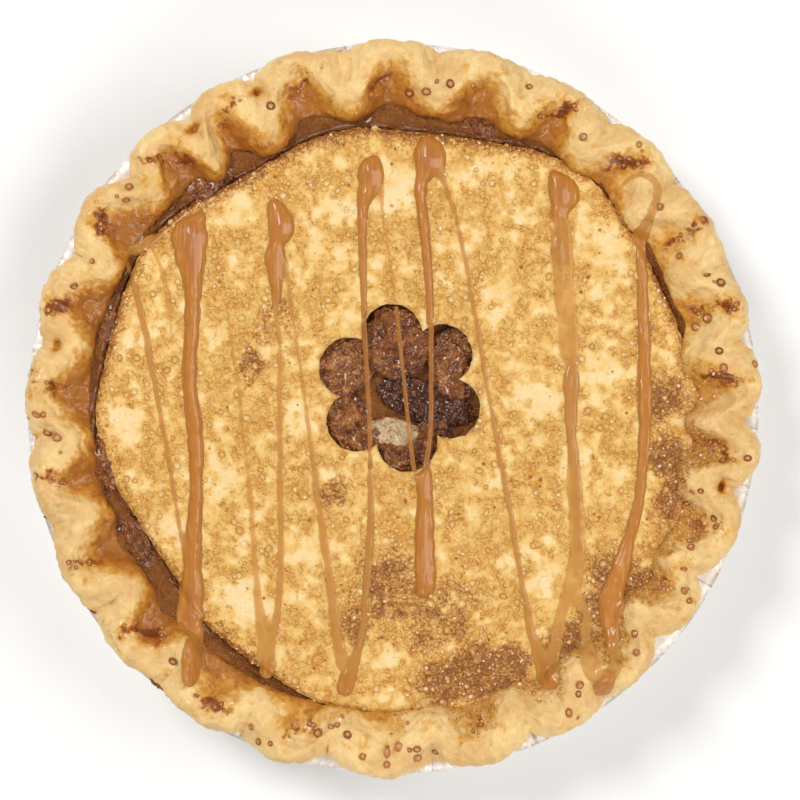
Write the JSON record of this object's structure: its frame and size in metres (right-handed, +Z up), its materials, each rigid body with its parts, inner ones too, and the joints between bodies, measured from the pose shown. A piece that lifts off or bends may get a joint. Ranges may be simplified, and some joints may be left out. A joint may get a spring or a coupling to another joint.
{
  "type": "caramel apple pie",
  "caption": "Round baked apple pie in a pleated foil tin, with a finger-crimped pastry rim, a loose lid with a flower-shaped window and a caramel drizzle.",
  "frame": {"origin": "centre of the tin's flat base", "axes": "+Z up through the lid, +Y towards the side of the rim where the lid has shrunk back most, +X to its right seen from above"},
  "size_m": [0.2444, 0.2444, 0.0435],
  "materials": {
    "foil": "thin bright pressed foil with fine crimps and a rolled edge",
    "pastry": "golden baked pastry, satin, browned on the rim and blistered with sugar",
    "filling": "wet dark caramel syrup",
    "apple": "cooked apple coated with glossy caramel",
    "caramel": "smooth milky caramel, glossy",
    "sugar": "coarse baked sugar, amber where it has melted"
  },
  "bodies": {
    "root": {"foil_tin": "foil", "pastry_shell": "pastry", "pastry_lid": "pastry", "apple_filling": "filling", "apple_slice_1": "apple", "apple_slice_2": "apple", "apple_slice_3": "apple", "apple_slice_4": "apple", "apple_slice_5": "apple", "apple_slice_6": "apple", "apple_slice_7": "apple", "apple_slice_8": "apple", "apple_chunk_1": "apple", "apple_chunk_2": "apple", "apple_chunk_3": "apple", "apple_chunk_4": "apple", "apple_chunk_5": "apple"}
  },
  "joints": []
}
